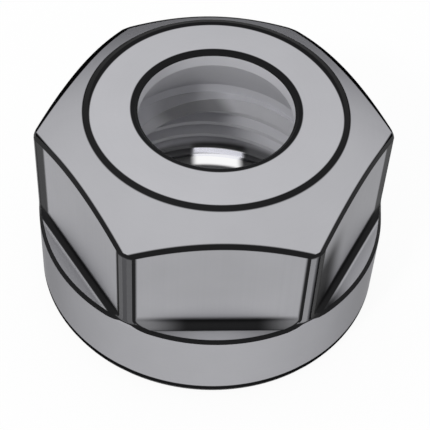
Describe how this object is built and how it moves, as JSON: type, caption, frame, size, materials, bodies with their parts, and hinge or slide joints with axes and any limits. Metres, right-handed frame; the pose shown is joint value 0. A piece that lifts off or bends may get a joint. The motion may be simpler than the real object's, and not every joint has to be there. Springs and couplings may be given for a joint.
{
  "type": "collet chuck nut",
  "caption": "Hexagonal clamping nut for a collet chuck, with a round collar, milled flats, a chamfered nose, a conical collet seat and an internal thread.",
  "frame": {"origin": "centre of the back face, which the nut stands on", "axes": "+Z along the turning axis, from the back face to the nose; two of the six flats face -Y and +Y, two corners point along -X and +X, and the lip inside stands out furthest at -X"},
  "size_m": [0.028, 0.028, 0.018],
  "materials": {
    "steel": "satin"
  },
  "bodies": {
    "root": {"chuck_nut": "steel"}
  },
  "joints": []
}
